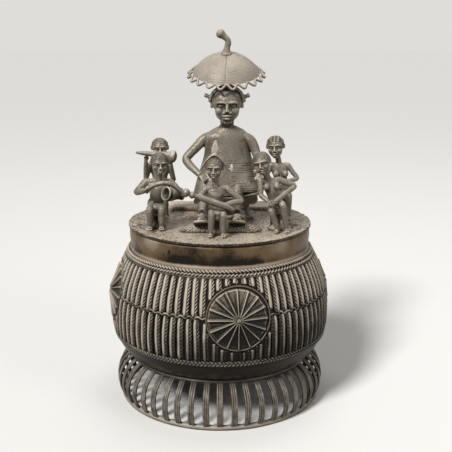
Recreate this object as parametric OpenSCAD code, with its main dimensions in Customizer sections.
// Lidded brass casket on an openwork foot, with a court group under a parasol on its lid.
// Millimetres, +Z up, origin on the ground at the vessel's axis; the front faces -Y.

/* [Bowl] */
// Greatest outer radius of the bowl wall
bowl_r = 89; // [84:0.5:96]
// Height of the bowl's widest line above the ground
belly_z = 74; // [68:0.5:84]
// Radius of the long curve of the bowl's side
side_curve = 107; // [98:1:125]
// How far the side curve runs on below the widest line
side_drop = 17; // [12:0.5:22]
// Radius of the turned-under curve below the side
under_curve = 25; // [20:0.5:30]
// Thickness of the cast wall
wall = 3; // [2:0.1:4]
// Outer radius of the smooth neck
neck_r = 74.5; // [73:0.5:80]
// Height of the smooth neck
neck_h = 18; // [14:0.5:26]

/* [Foot] */
// Number of open bars in the foot
bar_count = 48; // [36:1:60]
// Radius of the ring that the foot stands on, at the middle of its wire
base_ring_r = 82.5; // [78:0.5:88]
// Thickness of the wire of both foot rings
ring_wire = 4.6; // [3.6:0.1:5.6]
// Depth of the flat worn on the underside of the base ring
ring_flat = 0.4; // [0.2:0.05:0.8]
// Where the upper ring sits on the under curve, in degrees below level
ring_seat = 66; // [60:1:72]
// How far the bars bow out from a straight line between the rings
bar_bow = 8.5; // [6:0.5:12]
// Number of wires laid side by side in one bar
bar_wires = 3; // [2:1:3]
// Thickness of one wire of a bar
bar_wire = 1.7; // [1.3:0.1:2]

/* [Cords and ropes] */
// Number of cords in each tier round the bowl
cord_count = 84; // [64:2:100]
// Width of one cord
cord_w = 3.2; // [2.4:0.1:3.8]
// How far a cord stands proud of the wall
cord_h = 2.4; // [1.8:0.1:2.8]
// Thickness of the ropes laid in pairs above and below the cords
rope_d = 2.1; // [1.5:0.1:2.6]
// Height of the thread between the two tiers, above the widest line
mid_rise = 20; // [16:0.5:24]
// Thickness of the thread between the two tiers
mid_d = 1.6; // [1.2:0.1:2]

/* [Rosettes] */
// Radius of a rosette
rosette_r = 23; // [18:0.5:25]
// Height of a rosette's centre above the widest line
rosette_rise = 19; // [15:0.5:22]
// How far the tip of a rosette stands proud of the wall
rosette_tip = 5; // [4:0.25:7]
// How far the edge of a rosette lies behind the wall's nearest point
rosette_edge = 1; // [0.5:0.1:1.4]
// Number of rays on a rosette
ray_count = 16; // [12:1:18]
// Bearing of the front rosette, in degrees from +X
rosette_turn = -81; // [-100:1:-60]

/* [Lid] */
// How far the lid plate reaches past the neck
lid_overhang = 1.1; // [0.5:0.1:2]
// Thickness of the lid plate
lid_t = 3.2; // [2.4:0.1:4.5]
// Depth of the flange that drops into the neck
flange_depth = 11; // [8:0.5:16]
// Thickness of the flange
flange_t = 2.5; // [1.8:0.1:3.5]
// Clearance between the flange and the neck
lid_clearance = 0.4; // [0.2:0.05:0.8]

/* [Chief and parasol] */
// Place of the chief on the lid
chief_at = [6, 12]; // [-10:0.5:20]
// Height of the chief, from the lid to the top of the head
chief_h = 107; // [96:1:116]
// Place of the slab behind the chief
slab_at = [-1, 46]; // [-6:0.5:50]
// Length, depth and height of the slab behind the chief
slab_size = [88, 24, 3.6]; // [3:0.2:92]
// Length of the foot rest
rest_l = 64; // [56:1:72]
// Height of the foot rest
rest_h = 5.4; // [4:0.2:6.4]
// Rim radius of the parasol
canopy_r = 28; // [24:0.5:31]
// Depth of the parasol's dome
canopy_d = 16.5; // [13:0.5:20]
// Thickness of the parasol's dome
canopy_t = 1.6; // [1.2:0.1:2.2]
// Height of the parasol's rim above the lid
canopy_z = 119.5; // [117:0.5:130]
// Forward tilt of the parasol, in degrees
canopy_tilt = 17; // [10:1:20]
// Number of loops in the parasol's fringe
fringe_loops = 20; // [16:1:24]
// Thickness of the fringe wire
fringe_wire = 1.6; // [1.2:0.1:1.8]
// Thickness of the parasol's pole
pole_d = 3.6; // [2.8:0.1:4.4]

/* [Attendants] */
// Place of the sword bearer on the lid
sword_bearer_at = [-2, -47]; // [-50:0.5:2]
// Height of the sword bearer, without the hat
sword_bearer_h = 60; // [54:0.5:62]
// Place of the drummer on the lid
drummer_at = [-50, -28]; // [-52:0.5:-26]
// Height of the drummer
drummer_h = 61; // [55:0.5:64]
// Place of the horn blower on the lid
horn_blower_at = [-50, 10]; // [-52:0.5:14]
// Height of the horn blower
horn_blower_h = 67; // [60:0.5:70]
// Place of the front attendant on the lid
front_attendant_at = [44, -36]; // [-38:0.5:46]
// Height of the front attendant
front_attendant_h = 64; // [58:0.5:66]
// Place of the rear attendant on the lid
rear_attendant_at = [52, 12]; // [10:0.5:54]
// Height of the rear attendant
rear_attendant_h = 69; // [62:0.5:72]

/* [Hidden] */

// Gap left where two pieces seat on each other
seat = 0.05;
// Facets of full turns and of small round sections
turn_fn = 96;
wire_fn = 36;
brass = "#7d6b50";
dark_brass = "#5a4b38";
dusty_brass = "#a2937c";
neck_brass = "#80602f";

// Bowl curves: middles, angles and heights that follow from the sizes above
side_c = [bowl_r - side_curve, belly_z];
join_a = -asin(side_drop / side_curve);
under_c = side_c + (side_curve - under_curve) * [cos(join_a), sin(join_a)];
floor_z = under_c.y - under_curve;
neck_z = belly_z + side_curve * sin(neck_angle(0));
rim_z = neck_z + neck_h;
lid_z = rim_z + seat;
lid_top = lid_z + lid_t;
lid_r = neck_r + lid_overhang;

function neck_angle(grow) = acos((neck_r + grow - side_c.x) / (side_curve + grow));
function arc_points(c, r, from, to, steps) =
  [for (i = [0:steps]) let (a = from + (to - from) * i / steps) c + r * [cos(a), sin(a)]];
function wall_curve(grow) = concat(
  arc_points(under_c, under_curve + grow, -90, join_a, 14),
  arc_points(side_c, side_curve + grow, join_a, neck_angle(grow), 16)
);
function reversed(list) = [for (i = [len(list) - 1:-1:0]) list[i]];
function side_point(a, off) = side_c + (side_curve + off) * [cos(a), sin(a)];
function along_side(length) = length / side_curve * 180 / PI;

// Solid form of the bowl's outside, grown by a gap
module wall_outline(grow) {
  polygon(concat(
    [[0, floor_z - grow]],
    wall_curve(grow),
    [[neck_r + grow, rim_z], [0, rim_z]]
  ));
}

module bowl() {
  color(neck_brass) rotate_extrude($fn = turn_fn) polygon(concat(
    [[0, floor_z]],
    wall_curve(0),
    [[neck_r, rim_z], [neck_r - wall, rim_z]],
    reversed(wall_curve(-wall)),
    [[0, floor_z + wall]]
  ));
}

// Foot: the bars follow one arc between the two rings
ring_lift = 0.3 * ring_wire;
top_ring_c = under_c + (under_curve + ring_lift) * [cos(-ring_seat), sin(-ring_seat)];
base_ring_c = [base_ring_r, ring_wire / 2 - ring_flat];
bar_chord = norm(top_ring_c - base_ring_c);
bar_r = (pow(bar_chord / 2, 2) + pow(bar_bow, 2)) / (2 * bar_bow);
bar_dir = (top_ring_c - base_ring_c) / bar_chord;
bar_c = (top_ring_c + base_ring_c) / 2 + (bar_bow - bar_r) * [bar_dir.y, -bar_dir.x];
ring_bite = 0.3 * ring_wire / bar_r * 180 / PI;
seat_a = seat / bar_r * 180 / PI;
bar_top_a = atan2(top_ring_c.y - bar_c.y, top_ring_c.x - bar_c.x) - ring_bite;
bar_low_a = atan2(base_ring_c.y - bar_c.y, base_ring_c.x - bar_c.x) + ring_bite;
bar_sweep = bar_top_a - bar_low_a - 2 * seat_a;
bar_pitch = 0.94 * bar_wire;

module bar_section() {
  for (i = [0:bar_wires - 1])
    translate([0, (i - (bar_wires - 1) / 2) * bar_pitch]) circle(d = bar_wire, $fn = wire_fn);
  square([bar_wire / 2, (bar_wires - 1) * bar_pitch], center = true);
}

module foot_bars() {
  color(dark_brass)
    for (i = [0:bar_count - 1])
      rotate([0, 0, 360 * i / bar_count]) translate([bar_c.x, 0, bar_c.y]) rotate([90, 0, 0])
        rotate_extrude(angle = bar_sweep, start = bar_low_a + seat_a, $fn = turn_fn)
          translate([bar_r, 0]) bar_section();
}

module foot_base_ring() {
  color(dark_brass) rotate_extrude($fn = turn_fn) difference() {
    translate(base_ring_c) circle(d = ring_wire, $fn = wire_fn);
    translate(bar_c) rotate(bar_low_a) square([2 * bar_r, bar_r]);
    translate([base_ring_r - ring_wire, -ring_wire]) square([2 * ring_wire, ring_wire]);
  }
}

module foot_top_ring() {
  color(dark_brass) rotate_extrude($fn = turn_fn) difference() {
    translate(top_ring_c) circle(d = ring_wire, $fn = wire_fn);
    translate(bar_c) rotate(bar_top_a) translate([0, -bar_r]) square([2 * bar_r, bar_r]);
    wall_outline(seat);
  }
}

// Ropes lie in pairs at the two ends of the side curve, the cords between them
rope_lift = 0.25 * rope_d;
rope_step = along_side(rope_d + seat);
rope_half = along_side(rope_d / 2 + 2 * seat);
mid_a = asin(mid_rise / side_curve);
mid_half = along_side(mid_d / 2 + 2 * seat);
rosette_a = asin(rosette_rise / side_curve);
rosette_gap = 0.4;
cord_pitch = 360 / cord_count;
upper_from = mid_a + mid_half;
upper_to = neck_angle(0) - rope_step - rope_half;
lower_from = join_a + rope_step + rope_half;
lower_to = mid_a - mid_half;
least_cord = 0.6;

module rope(a) {
  color(dusty_brass) rotate_extrude($fn = turn_fn) difference() {
    translate(side_point(a, rope_lift)) circle(d = rope_d, $fn = wire_fn);
    wall_outline(seat);
  }
}

module neck_rope_upper() { rope(neck_angle(0)); }
module neck_rope_lower() { rope(neck_angle(0) - rope_step); }
module lower_rope_inner() { rope(join_a + rope_step); }
module lower_rope_outer() { rope(join_a); }

// Half the height that a rosette takes out of a cord at a bearing, in degrees along the side
function nearest_turn(az) =
  let (d = (az - rosette_turn) % 90, e = d < 0 ? d + 90 : d)
  min(e, 90 - e);
function rosette_reach(az) =
  let (
    s = max(nearest_turn(az) * PI / 180 * side_point(rosette_a, 0).x - cord_w / 2, 0),
    r = rosette_r + rosette_gap
  )
  s < r ? along_side(sqrt(r * r - s * s)) : 0;

module cord(az, from, to) {
  if (to - from > least_cord)
    rotate([0, 0, az]) translate([side_c.x, 0, side_c.y]) rotate([90, 0, 0])
      rotate_extrude(angle = to - from, start = from, $fn = turn_fn)
        translate([side_curve, 0]) intersection() {
          translate([cord_h - cord_w / 2, 0]) circle(d = cord_w, $fn = wire_fn);
          translate([seat, -cord_w]) square(2 * cord_w);
        }
}

module upper_cords() {
  color(dusty_brass)
    for (i = [0:cord_count - 1]) {
      az = i * cord_pitch;
      reach = rosette_reach(az);
      cord(az, reach > 0 ? max(upper_from, rosette_a + reach) : upper_from, upper_to);
    }
}

// The lower tier stands half a pitch on from the upper one
module lower_cords() {
  color(dusty_brass)
    for (i = [0:cord_count - 1]) {
      az = (i + 0.5) * cord_pitch;
      reach = rosette_reach(az);
      cord(az, lower_from, reach > 0 ? min(lower_to, rosette_a - reach) : lower_to);
    }
}

module mid_thread() {
  miss = (rosette_r + rosette_gap) / side_point(mid_a, 0).x * 180 / PI;
  color(dusty_brass)
    for (i = [0:3])
      rotate([0, 0, rosette_turn + 90 * i + miss])
        rotate_extrude(angle = 90 - 2 * miss, $fn = turn_fn) difference() {
          translate(side_point(mid_a, mid_d / 4)) circle(d = mid_d, $fn = wire_fn);
          wall_outline(seat);
        }
}

// Rosette: a shallow cone with sharp raised rays, a boss and a rim, on a back that lies to the wall
ray_w = 2.2;
boss_d = 5;
rim_d = 1.8;
rim_r = rosette_r - rim_d / 2;
rosette_slope = atan((rosette_tip + rosette_edge) / rosette_r);

module rosette_blank() {
  back_r = side_curve + seat;
  boss_z = rosette_tip - boss_d / 4;
  ray_from = 0.36 * boss_d;
  rotate_extrude($fn = turn_fn) {
    polygon(concat(
      arc_points([0, -side_curve], back_r, 90, acos(rim_r / back_r), 8),
      [[rim_r, -rosette_edge], [0, rosette_tip]]
    ));
    translate([rim_r, -rosette_edge]) circle(d = rim_d, $fn = wire_fn);
    intersection() {
      translate([0, boss_z]) circle(d = boss_d, $fn = wire_fn);
      square(2 * boss_d);
    }
  }
  for (i = [0:ray_count - 1])
    rotate([0, 0, 360 * i / ray_count]) translate([0, 0, rosette_tip])
      rotate([0, 90 + rosette_slope, 0]) translate([0, 0, ray_from])
        cylinder(d1 = 0.4 * ray_w, d2 = ray_w, h = rim_r - ray_from, $fn = 4);
}

module rosette(turn) {
  color(dusty_brass) rotate([0, 0, rosette_turn + turn])
    translate([side_c.x, 0, side_c.y]) rotate([0, 90 - rosette_a, 0])
      translate([0, 0, side_curve]) rosette_blank();
}

module rosette_front() { rosette(0); }
module rosette_right() { rosette(90); }
module rosette_back() { rosette(180); }
module rosette_left() { rosette(270); }

// Lid: a plate with an undercut edge, and a flange that drops into the neck
edge_undercut = [1.6, 0.8];
edge_round = 0.5;

module lid_plate() {
  color(brass) translate([0, 0, lid_z]) rotate_extrude($fn = turn_fn) polygon([
    [0, 0],
    [lid_r - edge_undercut.x, 0],
    [lid_r - edge_undercut.x, edge_undercut.y],
    [lid_r, edge_undercut.y],
    [lid_r, lid_t - edge_round],
    [lid_r - edge_round, lid_t],
    [0, lid_t]
  ]);
}

module lid_flange() {
  flange_r = neck_r - wall - lid_clearance;
  color(brass) translate([0, 0, lid_z - flange_depth]) rotate_extrude($fn = turn_fn)
    translate([flange_r - flange_t, 0]) square([flange_t, flange_depth]);
}

// Slab with softened corners behind the chief
module rear_slab() {
  corner = 3;
  color(dusty_brass) translate([slab_at.x, slab_at.y, lid_top])
    linear_extrude(slab_size.z) union() {
      square([slab_size.x - 2 * corner, slab_size.y], center = true);
      square([slab_size.x, slab_size.y - 2 * corner], center = true);
      for (sx = [-1, 1], sy = [-1, 1])
        translate([sx * (slab_size.x / 2 - corner), sy * (slab_size.y / 2 - corner)])
          circle(r = corner, $fn = wire_fn);
    }
}

// Half-round cushion under the feet, with drawn-in ends
rest_at = [1.5, -35.4];

module foot_rest() {
  end_l = rest_h;
  color(dark_brass) translate([rest_at.x, rest_at.y, lid_top]) rotate([0, 90, 0])
    rotate_extrude(angle = 180, start = 90, $fn = turn_fn) polygon(concat(
      [[0, -rest_l / 2]],
      arc_points([0, end_l - rest_l / 2], rest_h, -70, 0, 6),
      arc_points([0, rest_l / 2 - end_l], rest_h, 0, 70, 6),
      [[0, rest_l / 2]]
    ));
}

// Shapes of the figures: tubes swept along points, lofted rings, and rounded lumps
function unit(v) = v / norm(v);
function heading(path, i, closed) =
  let (
    n = len(path),
    a = closed ? (i + n - 1) % n : max(i - 1, 0),
    b = closed ? (i + 1) % n : min(i + 1, n - 1)
  )
  unit(path[b] - path[a]);
function section(c, t, up, r, sides) =
  let (u = unit(cross(up, t)), v = cross(t, u))
  [for (k = [0:sides - 1]) let (a = 360 * k / sides) c + r * (cos(a) * u + sin(a) * v)];
function wall_faces(rings, sides, closed) =
  [for (i = [0:rings - (closed ? 1 : 2)], k = [0:sides - 1])
    let (j = (i + 1) % rings, m = (k + 1) % sides)
    each [[i * sides + k, j * sides + k, j * sides + m], [i * sides + k, j * sides + m, i * sides + m]]];
function end_faces(rings, sides) =
  [[for (k = [0:sides - 1]) k], [for (k = [sides - 1:-1:0]) (rings - 1) * sides + k]];

module tube(path, radii, up = [0, 1, 0], sides = 8, closed = false) {
  n = len(path);
  polyhedron(
    [for (i = [0:n - 1]) each section(path[i], heading(path, i, closed), up, radii[i], sides)],
    concat(wall_faces(n, sides, closed), closed ? [] : end_faces(n, sides))
  );
}

// Upright loft through flattened rings: middle x, middle y, height, half width, half depth
module loft(rings, sides = 20) {
  polyhedron(
    [for (r = rings, k = [0:sides - 1])
      let (a = 360 * k / sides)
      [r[0] + r[3] * cos(a), r[1] + r[4] * sin(a), r[2]]],
    concat(wall_faces(len(rings), sides, false), end_faces(len(rings), sides))
  );
}

// Rounded lump through balls given as place and radius
module lump(balls, fn = 6) {
  hull()
    for (b = balls) translate(b[0]) sphere(r = b[1], $fn = fn);
}

module on_lid(at, height, modelled) {
  translate([at.x, at.y, lid_top + seat]) scale(height / modelled) children();
}

// Chief, modelled 107 high, seated on a stool that stands on the lid
chief_modelled = 107;
chief_k = chief_h / chief_modelled;
stool_h = 22.5;
hem_z = stool_h + 0.3;
head_c = [0, 0, 94];
shin_x = [-19, 9];

module with_chief() { on_lid(chief_at, chief_h, chief_modelled) children(); }

module chief_stool() {
  base = [46, 22, 3];
  top = [42, 24, 4];
  curl_d = 9.6;
  column_d = 11;
  strut_d = 4;
  strut_at = [17, 7];
  rise = stool_h - base.z - top.z;
  color(dark_brass) with_chief() {
    translate([0, 0, base.z / 2]) cube(base, center = true);
    translate([0, 0, base.z]) cylinder(d = column_d, h = rise, $fn = wire_fn);
    for (sx = [-1, 1], sy = [-1, 1])
      translate([sx * strut_at.x, sy * strut_at.y, base.z]) cylinder(d = strut_d, h = rise, $fn = wire_fn);
    translate([0, top.y / 2, stool_h]) rotate([90, 0, 0]) linear_extrude(top.y) {
      translate([-top.x / 2, -top.z]) square([top.x, top.z]);
      for (sx = [-1, 1])
        translate([sx * top.x / 2, -curl_d / 2]) circle(d = curl_d, $fn = wire_fn);
    }
  }
}

// Egg-shaped head with a plain nose and ears, about its middle
module head(c, r, sides = 12) {
  loft([
    for (k = [
      [-0.42, -1, 0.28, 0.26], [-0.3, -0.84, 0.48, 0.5],
      [-0.14, -0.5, 0.74, 0.78], [-0.02, -0.1, 0.92, 0.96],
      [0.02, 0.3, 0.98, 1.02], [0.06, 0.68, 0.84, 0.9],
      [0.08, 0.94, 0.54, 0.58], [0.08, 1.06, 0.2, 0.22]
    ]) [c.x, c.y + r * k[0], c.z + r * k[1], r * k[2], r * k[3]]
  ], sides);
  lump([[c + r * [0, -0.92, 0.1], 0.08 * r], [c + r * [0, -0.98, -0.28], 0.16 * r]]);
  for (sx = [-1, 1])
    lump([[c + r * [sx * 0.96, 0.08, 0.04], 0.17 * r], [c + r * [sx * 0.9, 0.04, -0.34], 0.12 * r]]);
}

module neck(from, to, r) {
  lump([[from, 1.15 * r], [to, r]], 8);
}

module chief() {
  color(brass) with_chief() {
    loft([
      [0, -3, hem_z, 26, 17],
      [0, -3, hem_z + 1.5, 26.6, 17.6],
      [0, -2.4, hem_z + 9, 25.6, 16.4],
      [0.4, -1.6, hem_z + 18, 22.6, 13.6],
      [0.6, -0.8, hem_z + 28, 19.6, 10.8],
      [0.3, -0.4, hem_z + 37, 18.8, 9.8],
      [0, 0, hem_z + 44.6, 19.2, 9],
      [0, 0, hem_z + 49, 16.2, 7.6],
      [0, -0.4, hem_z + 52, 11, 6.2],
      [0, -0.8, hem_z + 54.4, 5.8, 4.9]
    ], 24);
    tube(
      [[-14.4, 0, hem_z + 46.2], [-19.4, -1.2, hem_z + 42.8],
       [-25, -2.4, hem_z + 37], [-31, -3.6, hem_z + 31],
       [-33.8, -5, hem_z + 27.4], [-31.6, -8.4, hem_z + 24],
       [-27, -12.6, hem_z + 19.6], [-20.6, -16.4, hem_z + 14]],
      [4.4, 4.4, 4, 3.8, 3.6, 3.4, 3.1, 2.7], [0.3, 1, -0.2], 10
    );
    tube(
      [[14.4, 0, hem_z + 46.2], [19.2, -1.2, hem_z + 42.4],
       [22.4, -2.6, hem_z + 37], [24.8, -4.4, hem_z + 30.6],
       [26.8, -7, hem_z + 25.4], [27.8, -12, hem_z + 20.6], [26.6, -16, hem_z + 16]],
      [4.4, 4.4, 4, 3.7, 3.5, 3.2, 2.8], [0.3, 1, -0.2], 10
    );
    lump([[[-20.6, -16.4, hem_z + 14], 2.8], [[-14.6, -17.8, hem_z + 10.4], 2]], 8);
    lump([[[26.6, -16, hem_z + 16], 2.8], [[22.4, -18.4, hem_z + 11.4], 2]], 8);
    neck([0, -1, hem_z + 52.6], head_c - [0, 0.4, 9], 4.8);
    head(head_c, 12.2, 18);
    lump([[head_c - [0, 6.4, 11.4], 2.8], [head_c - [0, 6, 14.2], 1.8]], 8);
    for (x = shin_x) {
      tube(
        [[x, -15, hem_z + 6], [x - 0.6, -22, hem_z - 2], [x - foot_in, heel_y + 0.6, foot_z + 5.2]],
        [4.6, 4.4, 3.4], [1, 0, 0], 10
      );
      lump([[[x - foot_in, heel_y, foot_z + 3.4], 3.2], [[x - foot_in, toe_y, foot_z + 1.6], 1.5]]);
    }
  }
}

// Headband over the crown, with a knob standing out at each end
module chief_headband() {
  band_r = 12.5;
  band = [1.7, 5];
  band_lean = 14;
  band_end = 8;
  knob_a = 20;
  knob = [5, 3.4, 5.4];
  color(dark_brass) with_chief() translate(head_c + [0, 0.8, 1.6]) rotate([band_lean, 0, 0]) {
    rotate([90, 0, 0])
      rotate_extrude(angle = 180 - 2 * band_end, start = band_end, $fn = turn_fn)
        translate([band_r + band.x / 2, 0]) square(band, center = true);
    for (sx = [-1, 1])
      rotate([0, sx * (90 - knob_a), 0]) translate([0, 0, band_r + band.x / 2])
        cylinder(d1 = knob.x, d2 = knob.y, h = knob.z, $fn = wire_fn);
  }
}

// Sandals on the foot rest: soles a little above it, and a strap arched over each foot
sole = [13, 22, 2.2];
sole_y = rest_at.y + 1;
sole_z = lid_top + rest_h + seat;
strap_r = 5.6;
strap_d = 2;
strap_back = 1;
foot_in = 1.2;
foot_z = (sole_z + sole.z - lid_top) / chief_k;
heel_y = (sole_y + 8 - chief_at.y) / chief_k;
toe_y = (sole_y - 6 - chief_at.y) / chief_k;

module each_foot() {
  for (x = shin_x) translate([chief_at.x + chief_k * (x - foot_in), sole_y, sole_z]) children();
}

module sandal_soles() {
  color(dusty_brass) each_foot() scale([sole.x / sole.y, 1, 1])
    cylinder(d = sole.y, h = sole.z, $fn = turn_fn);
}

module sandal_straps() {
  color(dusty_brass) each_foot() translate([0, -strap_back, sole.z + seat]) rotate([90, 0, 0])
    rotate_extrude(angle = 180, $fn = turn_fn)
      translate([strap_r, 0]) circle(d = strap_d, $fn = wire_fn);
}

// Parasol: a dome with its own tilted frame, about the middle of its rim
canopy_at = [chief_at.x - 0.5, chief_at.y + 15];
dome_r = (canopy_r * canopy_r + canopy_d * canopy_d) / (2 * canopy_d);
dome_c = [0, canopy_d - dome_r];

module in_canopy() {
  translate([canopy_at.x, canopy_at.y, lid_top + canopy_z]) rotate([canopy_tilt, 0, 0]) children();
}

module parasol_canopy() {
  rim_a = atan2(-dome_c.y, canopy_r);
  inner_r = dome_r - canopy_t;
  inner_a = asin(-dome_c.y / inner_r);
  color(dusty_brass) in_canopy() rotate_extrude($fn = turn_fn) polygon(concat(
    arc_points(dome_c, dome_r, rim_a, 90, 14),
    arc_points(dome_c, inner_r, 90, inner_a, 14)
  ));
}

// One closed wire in loops that droop from the rim
module parasol_fringe() {
  inner = [canopy_r + fringe_wire / 2 + 0.1, 0.4];
  outer = [canopy_r + 4.2, -2.6];
  steps = [[0, inner], [0.34, outer], [0.66, outer]];
  color(dusty_brass) in_canopy() tube(
    [for (i = [0:fringe_loops - 1], s = steps)
      let (a = 360 * (i + s[0]) / fringe_loops)
      [s[1].x * cos(a), s[1].x * sin(a), s[1].y]],
    [for (i = [0:fringe_loops - 1], s = steps) fringe_wire / 2], [0, 0, 1], 6, true
  );
}

module parasol_finial() {
  color(dusty_brass) in_canopy() translate([0, 0, canopy_d + seat]) tube(
    [[0, 0, 0], [0, 0, 2.2], [0.6, 0.4, 5.2], [1.3, 0.8, 8.4], [0.6, 1.2, 11.2],
     [-1.8, 1.6, 13.4], [-3.8, 1.8, 15], [-5.2, 1.9, 16.2], [-6.6, 1.9, 17.2], [-7.4, 1.9, 17.8]],
    [4.4, 3.2, 2.7, 2.7, 2.5, 2.7, 3.5, 3.9, 3.1, 1.2], [0, 1, 0], 12
  );
}

// The pole stands on the slab and bends into the dome's own axis
module parasol_pole() {
  lean = [0, -sin(canopy_tilt), cos(canopy_tilt)];
  rim_c = [canopy_at.x, canopy_at.y, lid_top + canopy_z];
  foot = [canopy_at.x + 0.5, slab_at.y - 3, lid_top + slab_size.z + seat];
  top = canopy_d - canopy_t - 2 * seat - pole_d * pole_d / 8 / dome_r;
  color(brass) tube(
    [foot, foot + [0, 0, 4], foot + [0, -1.6, 46],
     rim_c + [0.2, 6.4, -17], rim_c + 6 * lean, rim_c + top * lean],
    [for (i = [0:5]) pole_d / 2], [1, 0, 0], 12
  );
}

// Attendants: each stands in its own frame on the lid, with its feet at the origin's level
module spool_stool(at, height, r) {
  waist = 0.62 * r;
  lip = 2.4;
  cove = 2;
  color(dark_brass) translate(at) rotate_extrude($fn = turn_fn) polygon([
    [0, 0],
    [r, 0],
    [r, lip],
    [waist, lip + cove],
    [waist, height - lip - cove],
    [r, height - lip],
    [r, height],
    [0, height]
  ]);
}

// Limb bent at its middle joint, with a lump for the hand or foot
module bent(a, b, c, radii, end, end_r) {
  near = 0.14;
  tube(
    [a, (a + b) / 2, b + near * (a - b), b + near * (c - b), (b + c) / 2, c],
    [radii[0], (radii[0] + radii[1]) / 2, radii[1], radii[1], (radii[1] + radii[2]) / 2, radii[2]],
    cross(b - a, c - b)
  );
  lump([[c, 1.08 * radii[2]], [end, end_r]]);
}

module leg(hip, knee, ankle, toe, r) {
  bent(hip, knee, ankle, [1.25 * r, 1.04 * r, 0.74 * r], toe, 0.64 * r);
}

module arm(shoulder, elbow, hand, r) {
  bent(shoulder, elbow, hand, [1.2 * r, r, 0.84 * r], hand + 0.6 * r * unit(hand - elbow), 0.95 * r);
}

// Trunk from the seat to the shoulders
module torso(hip, chest, shoulders, r) {
  mid = (shoulders[0] + shoulders[1]) / 2;
  half = norm(shoulders[1] - shoulders[0]) / 2;
  waist = 0.64 * hip + 0.36 * chest;
  loft([
    [hip.x, hip.y, hip.z - 0.9 * r, 0.8 * r, 0.72 * r],
    [hip.x, hip.y, hip.z, 1.12 * r, r],
    [waist.x, waist.y, waist.z, 0.92 * r, 0.84 * r],
    [chest.x, chest.y, chest.z, 1.14 * r, 0.96 * r],
    [mid.x, mid.y, mid.z - 0.2 * r, half + 0.2 * r, 0.62 * r],
    [mid.x, mid.y, mid.z + 0.36 * r, 0.5 * half, 0.42 * r]
  ], 12);
}

sword_bearer_modelled = 60;
module with_sword_bearer() {
  on_lid(sword_bearer_at, sword_bearer_h, sword_bearer_modelled) children();
}

module sword_bearer() {
  shoulders = [[-8.8, 1.9, 35.4], [7.5, 1.9, 36]];
  color(brass) with_sword_bearer() {
    torso([-1, 3, 19.6], [-1, 2.4, 31], shoulders, 5.6);
    neck([-1, 2, 37], [-1.6, 1, 45], 2.6);
    head([-2.2, 0.4, 52], 7.6);
    arm(shoulders[0], [-16, -1, 26.6], [-13.4, -8, 30.6], 2.3);
    arm(shoulders[1], [18.6, -1.4, 27], [5.4, -8.4, 25.2], 2.3);
    leg([-3.6, 1, 18], [-4.2, -10, 18.4], [-4.9, -9.4, 3], [-5.5, -12.6, 1.7], 2.6);
    leg([2.4, 1, 18], [4.6, -10, 18.4], [4.6, -9.6, 3], [4.8, -12.6, 1.7], 2.6);
    lump([[[-3.4, -8.6, 19], 2.6], [[4.4, -8.6, 19], 2.6], [[0.4, -8, 15.4], 2]]);
  }
}

module sword_bearer_stool() { with_sword_bearer() spool_stool([-1, 0.6, 0], 13.6, 4.6); }

// Hat with two drooping wings and an upright leaf on the crown
module sword_bearer_hat() {
  crown = [-2.2, 0.8, 61.8];
  color(dusty_brass) with_sword_bearer() {
    for (sx = [-1, 1]) {
      ridge = [[crown + [0, -2.4, 0.9], 0.9], [crown + [0, 3, 0.9], 0.9]];
      bend = [[crown + [sx * 7.4, -2, -3.6], 0.8], [crown + [sx * 7.4, 2.4, -3.6], 0.8]];
      tip = [[crown + [sx * 11.6, -0.6, -10], 0.7], [crown + [sx * 11.6, 1.4, -10], 0.7]];
      lump(concat(ridge, bend));
      lump(concat(bend, tip));
    }
    lump([[crown + [0.6, 0.8, 1], 1.4], [crown + [0.6, 0.8, 2.6], 1]]);
    lump([[crown + [0.6, 0.8, 2.2], 1], [crown + [-2.4, 1, 5], 0.7], [crown + [3.6, 1, 5], 0.7]]);
    lump([[crown + [-2.4, 1, 5], 0.7], [crown + [3.6, 1, 5], 0.7], [crown + [1.2, 1.6, 10.6], 0.6]]);
    lump([[crown + [10.6, 0.4, -9.6], 0.8], [crown + [13.4, 0, -9], 1.4]]);
  }
}

module state_sword() {
  color(brass) with_sword_bearer() tube(
    [[-25.6, -12.6, 36.2], [-24.8, -12.6, 36], [-23.4, -12.6, 35.6], [-22, -12.6, 35.1],
     [-21.2, -12.6, 34.8], [-20.4, -12.6, 34.5], [-18.8, -12.6, 34], [-17.4, -12.6, 33.5],
     [-16.6, -12.6, 33.2], [-10, -12.8, 30.8], [0, -13, 27.2], [8, -13, 24.2],
     [11.6, -13, 22.8], [13.4, -13, 22.2]],
    [0.8, 2.2, 2.9, 2.2, 1.2, 2, 2.5, 1.9, 1.7, 1.7, 1.8, 2, 1.6, 0.5], [0, 1, 0], 10
  );
}

drummer_modelled = 61;
module with_drummer() {
  on_lid(drummer_at, drummer_h, drummer_modelled) children();
}

module drummer() {
  shoulders = [[-8.6, 2, 37.4], [11, 2, 37.2]];
  color(brass) with_drummer() {
    torso([-1, 2.6, 19.8], [0.6, 2, 31.6], shoulders, 6);
    neck([1.6, 1.4, 38], [2.4, 0.4, 46], 2.7);
    head([2.6, -0.4, 52.6], 7.8);
    arm(shoulders[0], [-16, 0.4, 29.4], [-7.6, -8.6, 32.6], 2.5);
    arm(shoulders[1], [18.6, -1, 30.6], [19.6, -8.4, 33.2], 2.3);
    leg([-3.4, 1, 17.6], [-5, -9, 17], [-5.2, -6.6, 3], [-5.4, -10.4, 1.8], 2.8);
    leg([2.6, 1, 17.6], [4.4, -9, 17], [4, -6.6, 3], [4, -10.4, 1.8], 2.8);
  }
}

module drummer_stool() { with_drummer() spool_stool([-0.6, 4, 0], 12.6, 7); }

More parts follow.
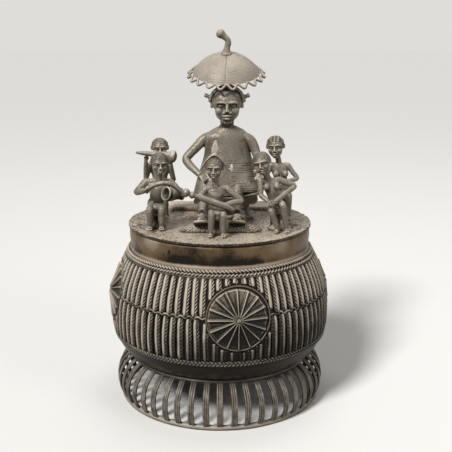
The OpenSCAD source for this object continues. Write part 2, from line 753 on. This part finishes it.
// Drum with a wide head, a narrow end and a tucked waist
module drum() {
  color(brass) with_drummer() tube(
    [[8.2, -20.4, 32.6], [8.6, -20, 32.4], [11.8, -17.2, 31.2], [14.8, -14.6, 30],
     [17.6, -12, 28.9], [20.2, -9.8, 28], [20.6, -9.4, 27.8]],
    [4.8, 5.6, 5.4, 4, 2.7, 2.6, 2], [0, 0, 1], 14
  );
}

module drum_beater() {
  color(brass) with_drummer() tube(
    [[-9.4, -13, 32.6], [-5, -13.2, 35.2], [-0.6, -13.4, 37.6], [4.6, -13.6, 39.2],
     [10, -13.5, 39], [14.6, -13.2, 37.2], [18.4, -13, 34.2], [20.4, -12.9, 31.9]],
    [1.2, 1.3, 1.3, 1.3, 1.3, 1.3, 1.4, 1.1], [0, 1, 0], 8
  );
}

horn_blower_modelled = 67;
module with_horn_blower() {
  on_lid(horn_blower_at, horn_blower_h, horn_blower_modelled) children();
}

module horn_blower() {
  shoulders = [[-8.6, 1, 43.4], [8.6, 1, 43.4]];
  color(brass) with_horn_blower() {
    torso([0, 2.4, 21.6], [0, 1.6, 36], shoulders, 6);
    neck([0, 1, 43], [0.4, 0.4, 51], 2.7);
    head([0.4, 0, 58.6], 7.8);
    arm(shoulders[0], [-11.6, -1, 33.6], [-10.6, -8.6, 50.2], 2.1);
    arm(shoulders[1], [11.4, -1, 32.6], [9.4, -9.4, 47], 2.1);
    leg([-3.4, 1, 19.4], [-4.8, -8.4, 19.4], [-4.8, -7, 3], [-5, -10.6, 1.8], 2.7);
    leg([3.4, 1, 19.4], [4.8, -8.4, 19.4], [4.8, -7, 3], [5, -10.6, 1.8], 2.7);
  }
}

module horn_blower_stool() { with_horn_blower() spool_stool([0, 4, 0], 14.4, 7); }

// Side-blown horn with a pointed tip and a round bell
module horn() {
  color(brass) with_horn_blower() tube(
    [[-18.2, -10, 56.6], [-17.2, -10.2, 56.6], [-12, -11, 56.2], [-5, -11.6, 55.6],
     [1, -12, 55.2], [6, -12.4, 54.6], [9.2, -12.6, 54.2], [12, -12.8, 53.8],
     [14.4, -13, 53.4], [15.4, -13, 53.2]],
    [0.5, 1.2, 1.9, 2.3, 2.6, 3, 4.6, 5.2, 3.8, 1.6], [0, 1, 0], 12
  );
}

front_attendant_modelled = 64;
module with_front_attendant() {
  on_lid(front_attendant_at, front_attendant_h, front_attendant_modelled) children();
}

module front_attendant() {
  shoulders = [[-12, 0.4, 39.6], [2.6, 2, 40.6]];
  color(brass) with_front_attendant() {
    torso([0, 3, 22.6], [-3.4, 2, 34.6], shoulders, 5.4);
    neck([-5.4, 1, 40], [-9.4, -0.6, 47.6], 2.6);
    head([-11.4, -2, 54.6], 7.9);
    arm(shoulders[1], [14.6, 1.4, 35.6], [-1.4, -9.4, 25.6], 2.1);
    arm(shoulders[0], [-11.8, -3, 29.4], [-6.4, -9, 25.4], 2.1);
    leg([-2.2, 0.8, 20.9], [-4, -11, 18], [1.4, -7, 3], [-0.4, -10.6, 1.7], 2.5);
    leg([2.7, 0.8, 21.6], [5, -9.4, 22.6], [8.6, -5.6, 3], [8.8, -9.4, 1.7], 2.5);
    lump([[[-7.4, -2.8, 36], 2.6]], 8);
    lump([[[0.6, -2.2, 36.4], 2.6]], 8);
    lump([[[-12.8, -7.8, 50], 1.2], [[-17.4, -11.4, 49.6], 1.5]], 8);
  }
}

module front_attendant_stool() { with_front_attendant() spool_stool([0.4, 4.4, 0], 15.6, 6.4); }

rear_attendant_modelled = 69;
module with_rear_attendant() {
  on_lid(rear_attendant_at, rear_attendant_h, rear_attendant_modelled) children();
}

module rear_attendant() {
  shoulders = [[-9.4, -1, 44.4], [5, -1, 44]];
  color(brass) with_rear_attendant() {
    torso([1.4, 1, 22.6], [-1.4, 0, 36.6], shoulders, 5.4);
    neck([-2.4, -1, 44], [-3.6, -1.4, 52.4], 2.3);
    head([-5.8, -2.4, 60], 8.2);
    arm(shoulders[1], [12.6, -3, 33.4], [1.4, -8.6, 31.4], 1.9);
    arm(shoulders[0], [-14, -3.4, 33], [-6.4, -8.4, 30.4], 1.9);
    leg([-1.6, -1, 20.8], [-3, -12, 20.6], [-3, -10.6, 3], [-3.2, -14, 1.7], 2.5);
    leg([4, -1, 20.8], [5.4, -12, 20.6], [5.4, -10.6, 3], [5.6, -14, 1.7], 2.5);
    lump([[[-5, -4.6, 37.6], 2.7]], 8);
    lump([[[2.6, -4.6, 37.6], 2.7]], 8);
  }
}

module rear_attendant_stool() { with_rear_attendant() spool_stool([2, 2, 0], 15.6, 7); }

bowl();
foot_base_ring();
foot_bars();
foot_top_ring();
lower_rope_outer();
lower_rope_inner();
lower_cords();
mid_thread();
upper_cords();
neck_rope_lower();
neck_rope_upper();
rosette_front();
rosette_right();
rosette_back();
rosette_left();
lid_plate();
lid_flange();
rear_slab();
foot_rest();
chief_stool();
chief();
chief_headband();
sandal_soles();
sandal_straps();
parasol_pole();
parasol_canopy();
parasol_fringe();
parasol_finial();
sword_bearer();
sword_bearer_hat();
state_sword();
sword_bearer_stool();
drummer();
drum();
drum_beater();
drummer_stool();
horn_blower();
horn();
horn_blower_stool();
front_attendant();
front_attendant_stool();
rear_attendant();
rear_attendant_stool();
